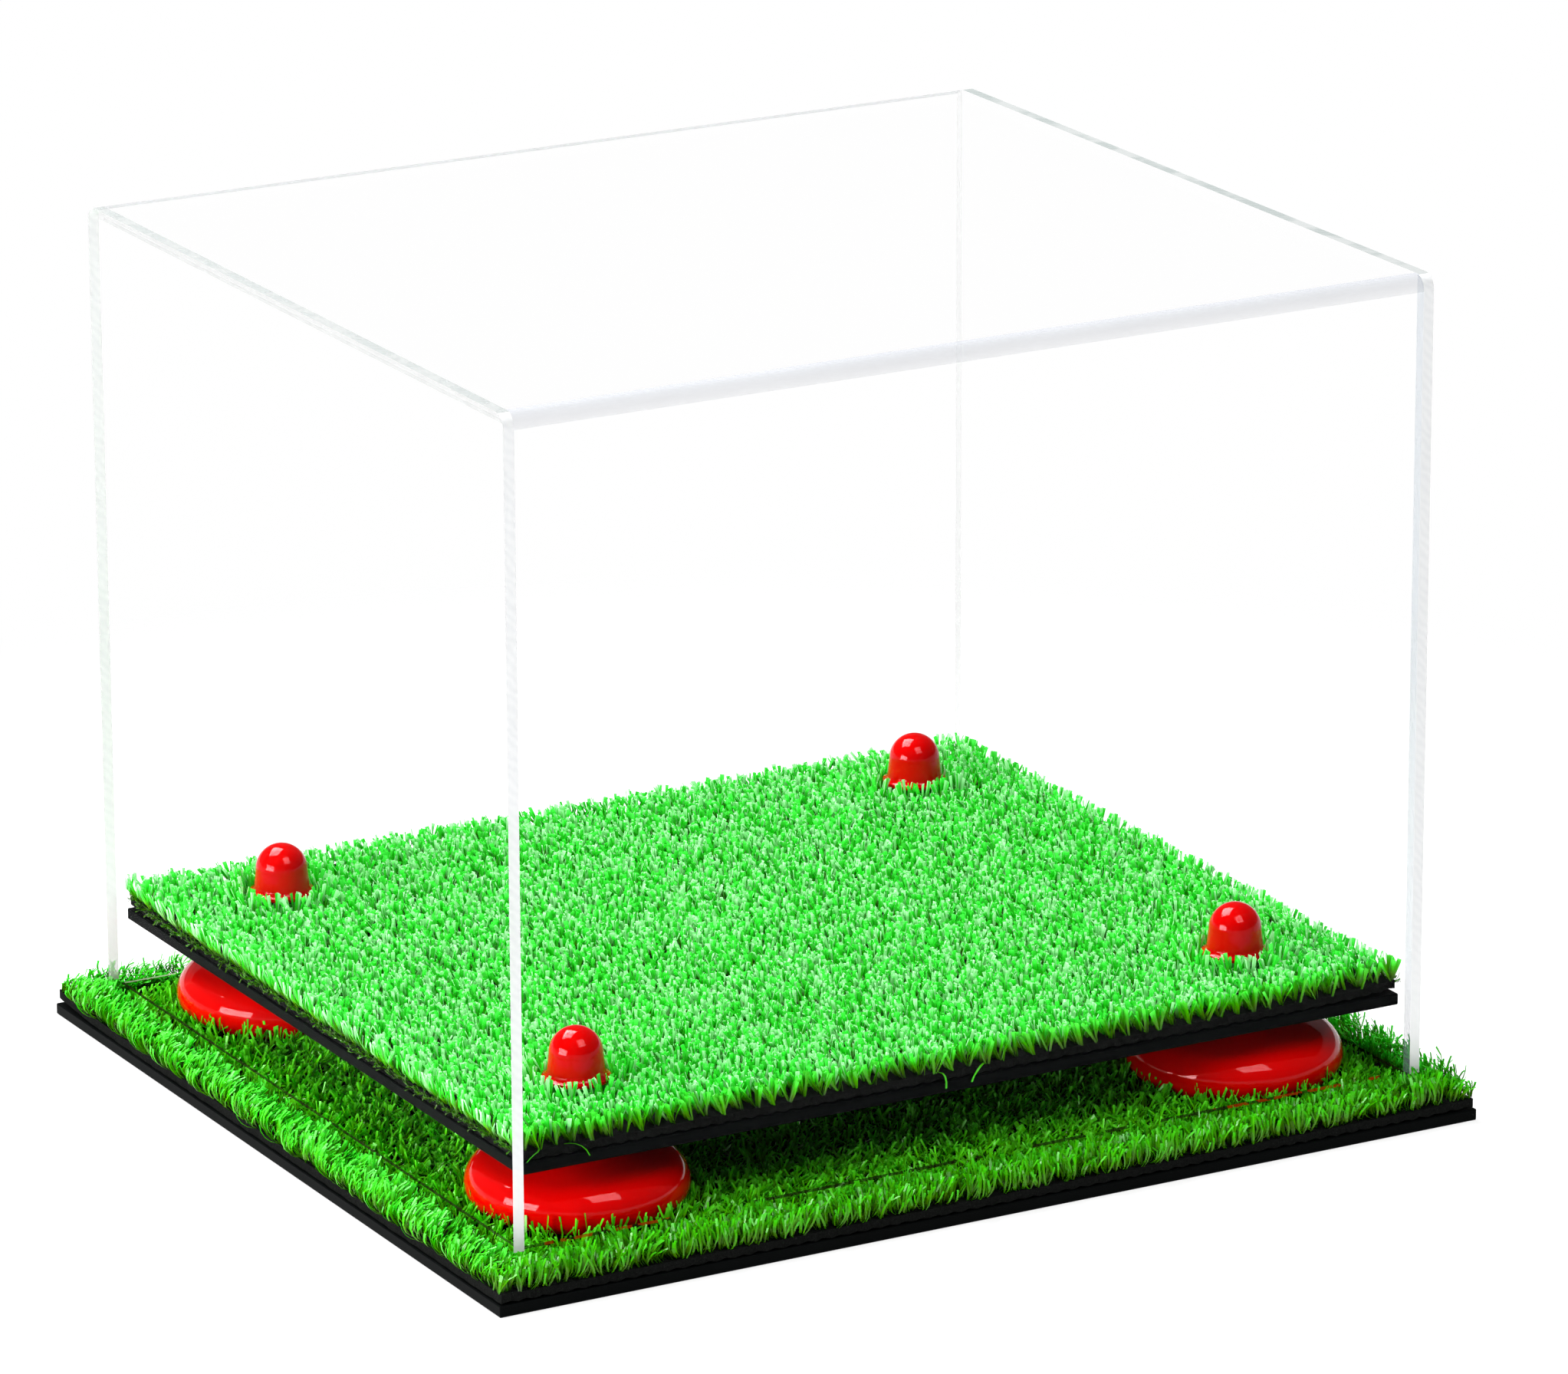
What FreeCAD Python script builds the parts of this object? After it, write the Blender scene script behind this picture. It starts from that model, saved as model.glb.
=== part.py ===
"""Display case for a football: a clear cover over a raised artificial-turf stand.

Millimetres, +Z up, X across the front, -Y is the front.  The origin is the centre of
the base's underside, on the table.  Every driving dimension sits once in the sheet
"Sizes"; the pieces below take their sizes and places from it by expressions.
"""
import FreeCAD, Part
import math
import os

import Sketcher

# Driving dimensions, in millimetres
SIZES = {
    # Clear cover: a sheet bent over front, top and back, closed by two end panels
    "cover_width": 353.0,
    "cover_depth": 312.0,
    "cover_height": 292.5,
    "cover_sheet": 4.0,
    "cover_bend_inside": 1.0,
    # Base plate: what it shows outside the cover, and its own thickness
    "border_side": 13.5,
    "border_front": 16.0,
    "base_plate_thickness": 4.0,
    # Raised platform, which fills the cover but for a finger-thin gap
    "platform_clearance": 1.5,
    "platform_plate_thickness": 4.0,
    "plate_edge_break": 0.3,
    # Turf: mounting tape, rubbery backing and cut pile
    "tape_thickness": 0.8,
    "tape_width": 20.0,
    "tape_inset": 10.0,
    "tape_gap": 4.0,
    "backing_thickness": 2.5,
    "backing_inset": 0.8,
    "base_pile_height": 7.8,
    "platform_pile_height": 7.8,
    "pile_inset": 1.2,
    "slot_clearance": 0.6,
    # Four risers: foot, long screw, domed cap nut with its threaded insert
    "riser_inset_side": 42.0,
    "riser_inset_front": 39.5,
    "foot_diameter": 76.0,
    "foot_edge_below": 8.0,
    "foot_edge_above": 10.0,
    "foot_crown": 14.5,
    "foot_neck_diameter": 26.0,
    "foot_height": 29.7,
    "foot_clearance": 0.3,
    "pile_under_foot": 2.0,
    "screw_diameter": 6.0,
    "screw_head_diameter": 12.0,
    "screw_head_recess": 0.3,
    "screw_tip_chamfer": 0.8,
    "screw_tip_play": 0.5,
    "screw_clearance": 0.3,
    "cap_rim_diameter": 23.2,
    "cap_rim_thickness": 1.0,
    "cap_flare_height": 3.2,
    "cap_flare_radius": 2.6,
    "cap_body_diameter": 19.6,
    "cap_shoulder_diameter": 18.4,
    "cap_height": 18.2,
    "cap_seat_gap": 0.3,
    "cap_rim_clearance": 0.4,
    "pile_under_cap": 6.8,
    "cap_blind_play": 0.3,
    "insert_diameter": 10.0,
    "insert_length": 11.0,
    "insert_clearance": 0.3,
    "thread_clearance": 0.2,
}

# Where the four risers stand: the sign of x and of y
CORNERS = {
    "front_left": (-1, -1),
    "front_right": (1, -1),
    "back_left": (-1, 1),
    "back_right": (1, 1),
}


class Size:
    """A length held both as a number and as the sheet expression that gives it."""

    def __init__(self, number, text):
        self.number = number
        self.text = text

    def __add__(self, other):
        other = as_size(other)
        return Size(self.number + other.number, f"({self.text} + {other.text})")

    def __sub__(self, other):
        other = as_size(other)
        return Size(self.number - other.number, f"({self.text} - {other.text})")

    def __mul__(self, other):
        other = as_size(other)
        return Size(self.number * other.number, f"({self.text} * {other.text})")

    def __truediv__(self, other):
        other = as_size(other)
        return Size(self.number / other.number, f"({self.text} / {other.text})")

    def __neg__(self):
        return Size(-self.number, f"(0 - {self.text})")


def as_size(value):
    """A plain number as a Size, and a Size as it is."""
    if isinstance(value, Size):
        return value
    return Size(float(value), f"({float(value)})")


def root(size):
    """The square root of a Size."""
    return Size(math.sqrt(size.number), f"sqrt({size.text})")


def make_sheet(document):
    """Write the driving dimensions into the sheet and return them as Sizes."""
    sheet = document.addObject("Spreadsheet::Sheet", "Sizes")
    for row, (alias, value) in enumerate(SIZES.items(), start=1):
        sheet.set(f"A{row}", alias)
        sheet.set(f"B{row}", str(value))
        sheet.setAlias(f"B{row}", alias)
    document.recompute()
    return {alias: Size(float(sheet.get(alias)), f"Sizes.{alias}") for alias in SIZES}


doc = FreeCAD.newDocument("FootballDisplayCase")
size = make_sheet(doc)
zero = as_size(0)

# Plan sizes that follow from the cover
base_width = size["cover_width"] + size["border_side"] * 2
base_depth = size["cover_depth"] + size["border_front"] * 2
room_width = size["cover_width"] - size["cover_sheet"] * 2
room_depth = size["cover_depth"] - size["cover_sheet"] * 2
platform_width = room_width - size["platform_clearance"] * 2
platform_depth = room_depth - size["platform_clearance"] * 2
riser_x = platform_width / 2 - size["riser_inset_side"]
riser_y = platform_depth / 2 - size["riser_inset_front"]

# Levels above the table, from the bottom up
base_backing_z = size["base_plate_thickness"] + size["tape_thickness"]
base_pile_z = base_backing_z + size["backing_thickness"]
foot_z = base_pile_z + size["pile_under_foot"]
platform_z = foot_z + size["foot_height"]
platform_top_z = platform_z + size["platform_plate_thickness"]
platform_backing_z = platform_top_z + size["tape_thickness"]
platform_pile_z = platform_backing_z + size["backing_thickness"]
cap_z = platform_pile_z + size["pile_under_cap"] + size["cap_seat_gap"]
screw_tip_z = cap_z + size["insert_length"] + size["screw_tip_play"]

# Hole for a screw through anything that it passes
screw_hole_radius = size["screw_diameter"] / 2 + size["screw_clearance"]

parts = []


def bind(thing, path, value):
    """Tie one property of an object to a Size."""
    thing.setExpression(path, value.text)


def place(thing, x=zero, y=zero, z=zero):
    """Tie an object's place to Sizes."""
    for axis, value in zip("xyz", (x, y, z)):
        bind(thing, f"Placement.Base.{axis}", value)


def new_body(label, x=zero, y=zero, z=zero):
    """An empty PartDesign body that is one named piece of the case."""
    body = doc.addObject("PartDesign::Body", label)
    body.Label = label
    place(body, x, y, z)
    parts.append(body)
    return body


def new_sketch(body, role, name):
    """A sketch on one of the body's own origin planes."""
    plane = next(p for p in body.Origin.OriginFeatures if p.Role == role)
    sketch = body.newObject("Sketcher::SketchObject", f"{body.Label}_{name}")
    sketch.AttachmentSupport = [(plane, "")]
    sketch.MapMode = "FlatFace"
    return sketch


def fix(sketch, kind, first, second, value):
    """Add one dimension to a sketch and tie it to a Size."""
    index = sketch.addConstraint(Sketcher.Constraint(kind, *first, *second, value.number))
    bind(sketch, f"Constraints[{index}]", value)


def arc_between(start, end, radius, turn):
    """The arc from start to end that bends left (turn 1) or right (turn -1)."""
    middle = (start + end) / 2
    chord = end - start
    height = math.sqrt(max(radius * radius - chord.Length * chord.Length / 4, 0.0))
    centre = middle + FreeCAD.Vector(-chord.y, chord.x, 0) * (turn * height / chord.Length)
    first, last = (start, end) if turn > 0 else (end, start)
    angles = [math.atan2(p.y - centre.y, p.x - centre.x) for p in (first, last)]
    circle = Part.Circle(centre, FreeCAD.Vector(0, 0, 1), radius)
    return Part.ArcOfCircle(circle, *angles)


def draw_outline(sketch, corners):
    """Draw a closed outline.

    Each corner is (x, y), or (x, y, radius, turn) where the edge that leaves it is an arc.
    """
    points = [FreeCAD.Vector(c[0].number, c[1].number, 0) for c in corners]
    ends = []
    for index, corner in enumerate(corners):
        start, end = points[index], points[(index + 1) % len(points)]
        if len(corner) == 2:
            edge = sketch.addGeometry(Part.LineSegment(start, end), False)
            ends.append(((edge, 1), (edge, 2)))
            continue
        radius, turn = corner[2], corner[3]
        edge = sketch.addGeometry(arc_between(start, end, radius.number, turn), False)
        ends.append(((edge, 1), (edge, 2)) if turn > 0 else ((edge, 2), (edge, 1)))
    for index, (_, leave) in enumerate(ends):
        meet = ends[(index + 1) % len(ends)][0]
        sketch.addConstraint(Sketcher.Constraint("Coincident", *leave, *meet))
    for corner, (start, _) in zip(corners, ends):
        fix(sketch, "DistanceX", (-1, 1), start, corner[0])
        fix(sketch, "DistanceY", (-1, 1), start, corner[1])
    for corner, (start, _) in zip(corners, ends):
        if len(corner) == 4:
            fix(sketch, "Radius", (start[0],), (), corner[2])


def draw_rectangle(sketch, width, depth):
    """Draw a rectangle centred on the sketch's origin."""
    x, y = width / 2, depth / 2
    draw_outline(sketch, [(-x, -y), (x, -y), (x, y), (-x, y)])


def draw_riser_circles(sketch, radius):
    """Draw one circle at each riser."""
    normal = FreeCAD.Vector(0, 0, 1)
    for side_x, side_y in CORNERS.values():
        x, y = riser_x * side_x, riser_y * side_y
        centre = FreeCAD.Vector(x.number, y.number, 0)
        circle = sketch.addGeometry(Part.Circle(centre, normal, radius.number), False)
        fix(sketch, "DistanceX", (-1, 1), (circle, 3), x)
        fix(sketch, "DistanceY", (-1, 1), (circle, 3), y)
        fix(sketch, "Radius", (circle,), (), radius)


def pad(body, sketch, length, symmetric=False):
    """Raise a sketch into a solid."""
    feature = body.newObject("PartDesign::Pad", f"{body.Label}_pad")
    feature.Profile = sketch
    bind(feature, "Length", length)
    if symmetric:
        feature.SideType = "Symmetric"
    return feature


def turn(body, corners):
    """Turn an outline in the XZ plane about the body's own Z axis."""
    sketch = new_sketch(body, "XZ_Plane", "profile")
    draw_outline(sketch, corners)
    feature = body.newObject("PartDesign::Revolution", f"{body.Label}_turned")
    feature.Profile = sketch
    feature.ReferenceAxis = (sketch, ["V_Axis"])
    feature.Angle = 360


def pierce(body, radius, deep):
    """Drill a plain hole at each riser, upwards from the body's XY plane."""
    before = solid_volume(body)
    sketch = new_sketch(body, "XY_Plane", "holes")
    draw_riser_circles(sketch, radius)
    feature = body.newObject("PartDesign::Pocket", f"{body.Label}_holes_cut")
    feature.Profile = sketch
    feature.Reversed = True
    bind(feature, "Length", deep)
    check_cut(body, before)


def solid_volume(body):
    """The volume of a body as it stands."""
    doc.recompute()
    return body.Shape.Volume


def check_cut(body, before):
    """Stop if a cut took nothing away."""
    if solid_volume(body) >= before:
        raise RuntimeError(f"{body.Label}: a cut missed the solid")


def plate(label, width, depth, thickness, z):
    """A flat acrylic plate with its edges just broken."""
    body = new_body(label, z=z)
    sketch = new_sketch(body, "XY_Plane", "outline")
    draw_rectangle(sketch, width, depth)
    blank = pad(body, sketch, thickness)
    doc.recompute()
    edge_break = body.newObject("PartDesign::Chamfer", f"{label}_edge_break")
    edge_break.Base = (blank, [""])
    edge_break.UseAllEdges = True
    bind(edge_break, "Size", size["plate_edge_break"])
    return body


def make_base_plate():
    """The black plate that carries everything, with countersunk screw holes below."""
    body = plate("base_plate", base_width, base_depth, size["base_plate_thickness"], zero)
    before = solid_volume(body)
    sketch = new_sketch(body, "XY_Plane", "holes")
    draw_riser_circles(sketch, screw_hole_radius)
    doc.recompute()
    hole = body.newObject("PartDesign::Hole", "base_plate_holes_cut")
    hole.Profile = sketch
    hole.DepthType = "ThroughAll"
    hole.Reversed = True
    bind(hole, "Diameter", screw_hole_radius * 2)
    hole.HoleCutType = "Countersink"
    hole.HoleCutCustomValues = True
    bind(hole, "HoleCutDiameter", size["screw_head_diameter"] + size["screw_clearance"] * 2)
    hole.HoleCutCountersinkAngle = 90
    check_cut(body, before)


def make_platform_plate():
    """The black plate that the turf stage is laid on, held between feet and caps."""
    thickness = size["platform_plate_thickness"]
    body = plate("platform_plate", platform_width, platform_depth, thickness, platform_z)
    pierce(body, screw_hole_radius, thickness)


def make_backing(label, width, depth, z):
    """The turf's rubbery backing sheet, a little smaller than its plate."""
    inset = size["backing_inset"] * 2
    body = new_body(label, z=z)
    sketch = new_sketch(body, "XY_Plane", "outline")
    draw_rectangle(sketch, width - inset, depth - inset)
    pad(body, sketch, size["backing_thickness"])
    pierce(body, screw_hole_radius, size["backing_thickness"])


def box(name, width, depth, height, x=zero, y=zero, z=zero):
    """A box centred on x and y that stands on z."""
    solid = doc.addObject("Part::Box", name)
    bind(solid, "Length", width)
    bind(solid, "Width", depth)
    bind(solid, "Height", height)
    place(solid, x - width / 2, y - depth / 2, z)
    return solid


def riser_posts(name, radius, height, z):
    """Four upright cylinders at the risers, fused to cut with."""
    posts = []
    for corner, (side_x, side_y) in CORNERS.items():
        post = doc.addObject("Part::Cylinder", f"{name}_{corner}")
        bind(post, "Radius", radius)
        bind(post, "Height", height)
        place(post, riser_x * side_x, riser_y * side_y, z)
        posts.append(post)
    group = doc.addObject("Part::MultiFuse", name)
    group.Shapes = posts
    return group


def cut(label, solid, tool):
    """The first solid with the second taken out of it."""
    result = doc.addObject("Part::Cut", label)
    result.Label = label
    result.Base = solid
    result.Tool = tool
    return result


def make_tape(label, width, depth, z):
    """Four strips of mounting tape in a frame, which hold the turf down."""
    wide = size["tape_width"]
    thick = size["tape_thickness"]
    long_x = width - size["tape_inset"] * 2
    row_y = depth / 2 - size["tape_inset"] - wide / 2
    long_y = row_y * 2 - wide - size["tape_gap"] * 2
    row_x = width / 2 - size["tape_inset"] - wide / 2
    strips = [
        box(f"{label}_front", long_x, wide, thick, y=-row_y, z=z),
        box(f"{label}_back", long_x, wide, thick, y=row_y, z=z),
        box(f"{label}_left", wide, long_y, thick, x=-row_x, z=z),
        box(f"{label}_right", wide, long_y, thick, x=row_x, z=z),
    ]
    group = doc.addObject("Part::Compound", label)
    group.Label = label
    group.Links = strips
    parts.append(group)


def make_base_pile():
    """The base's pile, parted all round by the slot that the cover stands in."""
    height = size["base_pile_height"]
    inset = (size["backing_inset"] + size["pile_inset"]) * 2
    play = size["slot_clearance"] * 2
    field_width, field_depth = room_width - play, room_depth - play
    field = box("base_field", field_width, field_depth, height, z=base_pile_z)
    foot_radius = size["foot_diameter"] / 2 + size["foot_clearance"]
    hollows = riser_posts("foot_hollows", foot_radius, height, foot_z)
    pressed = cut("base_field_pressed", field, hollows)
    holes = riser_posts("base_pile_holes", screw_hole_radius, height, base_pile_z)
    parts.append(cut("base_field_pile", pressed, holes))

    rim = box("base_border", base_width - inset, base_depth - inset, height, z=base_pile_z)
    slot_width, slot_depth = size["cover_width"] + play, size["cover_depth"] + play
    inside = box("base_border_inside", slot_width, slot_depth, height, z=base_pile_z)
    parts.append(cut("base_border_pile", rim, inside))


def make_platform_pile():
    """The platform's pile, pressed down under the caps and pierced for the screws."""
    height = size["platform_pile_height"]
    inset = (size["backing_inset"] + size["pile_inset"]) * 2
    width, depth = platform_width - inset, platform_depth - inset
    block = box("platform_block", width, depth, height, z=platform_pile_z)
    rim_radius = size["cap_rim_diameter"] / 2 + size["cap_rim_clearance"]
    seat_z = platform_pile_z + size["pile_under_cap"]
    seats = riser_posts("cap_seats", rim_radius, height, seat_z)
    pressed = cut("platform_pressed", block, seats)
    holes = riser_posts("platform_pile_holes", screw_hole_radius, height, platform_pile_z)
    parts.append(cut("platform_pile", pressed, holes))


def make_foot(corner, x, y):
    """One riser foot: a pebble with a rounded edge, a domed top and a neck."""
    body = new_body(f"riser_foot_{corner}", x, y, foot_z)
    radius = size["foot_diameter"] / 2
    below, above = size["foot_edge_below"], size["foot_edge_above"]
    crown, height = size["foot_crown"], size["foot_height"]
    neck, bore = size["foot_neck_diameter"] / 2, screw_hole_radius
    # The crown is part of a ball centred on the axis, tangent to the upper edge round
    reach = radius - above
    ball = (reach * reach + crown * crown - above * above) / ((crown - above) * 2)
    share = above / (ball - above)
    meet_x = reach + reach * share
    meet_z = below + (ball - crown) * share
    neck_z = below + crown - ball + root(ball * ball - neck * neck)
    turn(body, [
        (bore, zero),
        (radius - below, zero, below, 1),
        (radius, below, above, 1),
        (meet_x, meet_z, ball, 1),
        (neck, neck_z),
        (neck, height),
        (bore, height),
    ])


def make_screw(corner, x, y):
    """One long flat-head screw, from under the base up into the cap."""
    body = new_body(f"riser_screw_{corner}", x, y, size["screw_head_recess"])
    head, shank = size["screw_head_diameter"] / 2, size["screw_diameter"] / 2
    tip = screw_tip_z - size["screw_head_recess"]
    chamfer = size["screw_tip_chamfer"]
    turn(body, [
        (zero, zero),
        (head, zero),
        (shank, head - shank),
        (shank, tip - chamfer),
        (shank - chamfer, tip),
        (zero, tip),
    ])


def make_cap(corner, x, y):
    """One domed cap nut: a bell with a flared rim, drilled for its insert."""
    body = new_body(f"riser_cap_{corner}", x, y, cap_z)
    bore = size["insert_diameter"] / 2 + size["insert_clearance"]
    depth = size["insert_length"] + size["screw_tip_play"] + size["cap_blind_play"]
    rim, lip = size["cap_rim_diameter"] / 2, size["cap_rim_thickness"]
    dome = size["cap_shoulder_diameter"] / 2
    height = size["cap_height"]
    turn(body, [
        (bore, zero),
        (rim, zero),
        (rim, lip, size["cap_flare_radius"], -1),
        (size["cap_body_diameter"] / 2, size["cap_flare_height"]),
        (dome, height - dome, dome, 1),
        (zero, height),
        (zero, depth),
        (bore, depth),
    ])


def make_insert(corner, x, y):
    """The threaded metal bush inside one cap."""
    body = new_body(f"cap_insert_{corner}", x, y, cap_z)
    outside = size["insert_diameter"] / 2
    inside = size["screw_diameter"] / 2 + size["thread_clearance"]
    length = size["insert_length"]
    turn(body, [(inside, zero), (outside, zero), (outside, length), (inside, length)])


def cover_outline():
    """The cover seen from the side: square at the foot, bent round at the top."""
    half, height = size["cover_depth"] / 2, size["cover_height"]
    bend = size["cover_bend_inside"] + size["cover_sheet"]
    return [
        (half, zero),
        (half, height - bend, bend, 1),
        (half - bend, height),
        (bend - half, height, bend, 1),
        (-half, height - bend),
        (-half, zero),
    ]


def make_bent_sheet():
    """The sheet that is front wall, top and back wall in one, bent on two lines."""
    body = new_body("cover_bent_sheet", z=base_pile_z)
    half = size["cover_depth"] / 2
    sheet, inside = size["cover_sheet"], size["cover_bend_inside"]
    ceiling = size["cover_height"] - sheet
    face = half - sheet
    sketch = new_sketch(body, "YZ_Plane", "outline")
    draw_outline(sketch, cover_outline() + [
        (-face, zero),
        (-face, ceiling - inside, inside, -1),
        (inside - face, ceiling),
        (face - inside, ceiling, inside, -1),
        (face, ceiling - inside),
        (face, zero),
    ])
    pad(body, sketch, room_width, symmetric=True)


def make_end_panel(label, x):
    """One flat end of the cover, glued over the bent sheet's edge and trimmed flush."""
    body = new_body(label, x=x, z=base_pile_z)
    sketch = new_sketch(body, "YZ_Plane", "outline")
    draw_outline(sketch, cover_outline())
    pad(body, sketch, size["cover_sheet"])


def make_case():
    """Build every piece, from the table up."""
    make_base_plate()
    make_tape("base_turf_tape", base_width, base_depth, size["base_plate_thickness"])
    make_backing("base_turf_backing", base_width, base_depth, base_backing_z)
    make_base_pile()
    make_platform_plate()
    make_tape("platform_turf_tape", platform_width, platform_depth, platform_top_z)
    make_backing("platform_turf_backing", platform_width, platform_depth, platform_backing_z)
    make_platform_pile()
    for corner, (side_x, side_y) in CORNERS.items():
        x, y = riser_x * side_x, riser_y * side_y
        make_foot(corner, x, y)
        make_screw(corner, x, y)
        make_cap(corner, x, y)
        make_insert(corner, x, y)
    make_bent_sheet()
    make_end_panel("cover_left_panel", -size["cover_width"] / 2)
    make_end_panel("cover_right_panel", size["cover_width"] / 2 - size["cover_sheet"])
    doc.recompute()


def check_case():
    """Stop if any object failed to build or any piece is not a sound solid."""
    for thing in doc.Objects:
        if "Invalid" in thing.State or "Error" in thing.State:
            raise RuntimeError(f"{thing.Label} failed: {thing.State}")
    for piece in parts:
        if piece.Shape.isNull() or not piece.Shape.isValid() or not piece.Shape.Solids:
            raise RuntimeError(f"{piece.Label} is not a valid solid")


def write_case():
    """Write each piece to a file of its own."""
    os.makedirs("parts", exist_ok=True)
    for piece in parts:
        piece.Shape.exportStep(f"parts/{piece.Label}.step")
        print(f"{piece.Label}: {len(piece.Shape.Solids)} solid(s), {piece.Shape.Volume:.0f} mm3")


make_case()
check_case()
write_case()
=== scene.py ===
# %% [markdown]
# # A display case for a football
# A clear cover stands over a raised stage of artificial turf. Everything hard comes from the
# drawing as it is and only needs a finish. The turf is soft, so the drawing holds it as plain
# slabs, and here it is grown tuft by tuft over the same places.

# %% Load the drawing
import math
import random

import bmesh
import bpy
from mathutils import Matrix, Vector, noise


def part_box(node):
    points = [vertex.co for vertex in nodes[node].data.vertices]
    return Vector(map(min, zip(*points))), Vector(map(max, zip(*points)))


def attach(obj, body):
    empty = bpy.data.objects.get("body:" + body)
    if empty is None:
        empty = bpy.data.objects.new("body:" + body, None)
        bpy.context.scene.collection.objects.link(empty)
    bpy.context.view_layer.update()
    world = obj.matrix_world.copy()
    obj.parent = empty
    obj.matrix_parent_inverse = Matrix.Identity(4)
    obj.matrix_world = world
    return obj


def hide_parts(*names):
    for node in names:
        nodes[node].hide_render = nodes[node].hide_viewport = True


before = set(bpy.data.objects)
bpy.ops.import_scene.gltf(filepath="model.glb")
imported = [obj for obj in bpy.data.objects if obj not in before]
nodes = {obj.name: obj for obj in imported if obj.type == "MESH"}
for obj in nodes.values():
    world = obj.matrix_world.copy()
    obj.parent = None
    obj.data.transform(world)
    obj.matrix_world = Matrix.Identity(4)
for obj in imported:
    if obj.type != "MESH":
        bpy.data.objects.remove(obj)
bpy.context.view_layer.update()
MM = 0.001

# %% [markdown]
# ## The camera
# The case was seen from its front left corner with a long lens, so its edges hardly converge.
# A camera can be aimed at a target, but turning it by three plain angles, round, down and a
# little askew, keeps the picture's own slight tilt.

# %% Stand the camera
CAMERA_PLACE = Vector((-1.441938, -2.610146, 1.070665))
CAMERA_ROUND = math.radians(-29.128)
CAMERA_DOWN = math.radians(17.342)
CAMERA_ASKEW = math.radians(-0.193)
CAMERA_LENS = 206.685
CAMERA_SENSOR = 36.0

camera = bpy.data.objects.new("camera", bpy.data.cameras.new("camera"))
camera.data.sensor_fit = "HORIZONTAL"
camera.data.sensor_width = CAMERA_SENSOR
camera.data.lens = CAMERA_LENS
camera.matrix_world = (
    Matrix.Translation(CAMERA_PLACE)
    @ Matrix.Rotation(CAMERA_ROUND, 4, "Z")
    @ Matrix.Rotation(math.pi / 2 - CAMERA_DOWN, 4, "X")
    @ Matrix.Rotation(CAMERA_ASKEW, 4, "Z")
)
bpy.context.collection.objects.link(camera)
bpy.context.scene.camera = camera
bpy.context.scene.view_settings.view_transform = "Standard"
print(f"camera {CAMERA_PLACE.length:.2f} m from the middle of the base")

# %% [markdown]
# ## Writing finishes as sums
# A finish is a small web of shader nodes. Placing every node by hand hides what is meant, so
# a socket is wrapped in a class that can be added and multiplied like a number, and one method
# adds any other node: its type, its settings, then what goes into its sockets.

# %% Sockets that can be counted with
class Wire:
    """One socket of a finish, used in sums like a number."""

    def __init__(self, finish, socket):
        self.finish = finish
        self.socket = socket

    def maths(self, operation, first, second):
        return self.finish.node("ShaderNodeMath", {"operation": operation}, {0: first, 1: second})

    def __add__(self, other):
        return self.maths("ADD", self, other)

    def __radd__(self, other):
        return self.maths("ADD", other, self)

    def __sub__(self, other):
        return self.maths("SUBTRACT", self, other)

    def __rsub__(self, other):
        return self.maths("SUBTRACT", other, self)

    def __mul__(self, other):
        return self.maths("MULTIPLY", self, other)

    def __rmul__(self, other):
        return self.maths("MULTIPLY", other, self)

    def __gt__(self, other):
        return self.maths("GREATER_THAN", self, other)

    def __lt__(self, other):
        return self.maths("LESS_THAN", self, other)

    def __or__(self, other):
        return self.maths("MAXIMUM", self, other)

    def __abs__(self):
        return self.maths("ABSOLUTE", self, 0.0)

    def whole(self):
        return self.maths("FLOOR", self, 0.0)

    def output(self, name):
        """Another output of the node that this socket belongs to."""
        return Wire(self.finish, self.socket.node.outputs[name])


class Finish:
    """A material, or the world, and the nodes that make it."""

    def __init__(self, owner):
        owner.use_nodes = True
        self.owner = owner
        self.tree = owner.node_tree
        self.tree.nodes.clear()

    def node(self, kind, settings=(), sockets=(), out=0):
        """Add a node: settings first, then values or links for its sockets."""
        node = self.tree.nodes.new(kind)
        for name, value in dict(settings).items():
            if name == "stops":
                ramp = node.color_ramp.elements
                while len(ramp) < len(value):
                    ramp.new(0.5)
                for stop, (position, colour) in zip(ramp, value):
                    stop.position = position
                    stop.color = (*colour, 1.0)
            else:
                setattr(node, name, value)
        for name, value in dict(sockets).items():
            if isinstance(value, Wire):
                self.tree.links.new(value.socket, node.inputs[name])
            else:
                node.inputs[name].default_value = value
        return Wire(self, node.outputs[out]) if node.outputs else None

    def spot(self):
        """Where on the object a point is."""
        return self.node("ShaderNodeTexCoord").output("Object")

    def noise(self, where, scale, detail=3.0):
        """Soft random patches between 0 and 1."""
        sockets = {"Vector": where, "Scale": scale, "Detail": detail}
        return self.node("ShaderNodeTexNoise", (), sockets)

    def mix(self, share, first, second):
        """One colour mixed into another."""
        sockets = {0: share, 6: first, 7: second}
        return self.node("ShaderNodeMix", {"data_type": "RGBA"}, sockets, out=2)

    def ramp(self, share, stops):
        """A number turned into a colour."""
        return self.node("ShaderNodeValToRGB", {"stops": stops}, {"Fac": share})

    def bump(self, height, strength, distance):
        """A surface normal that follows a height."""
        sockets = {"Height": height, "Strength": strength, "Distance": distance}
        return self.node("ShaderNodeBump", (), sockets)

    def shine(self, **sockets):
        """A Principled shader; underscores in names stand for spaces."""
        named = {name.replace("_", " "): value for name, value in sockets.items()}
        return self.node("ShaderNodeBsdfPrincipled", (), named)

    def done(self, shader):
        """Send a shader to the output and give the material back."""
        kind = "World" if isinstance(self.owner, bpy.types.World) else "Material"
        self.node(f"ShaderNodeOutput{kind}", (), {"Surface": shader})
        return self.owner


def colour(red, green, blue):
    """A colour with the fourth number that sockets want."""
    return (red, green, blue, 1.0)


print("finishes are written with Wire and Finish")

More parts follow.
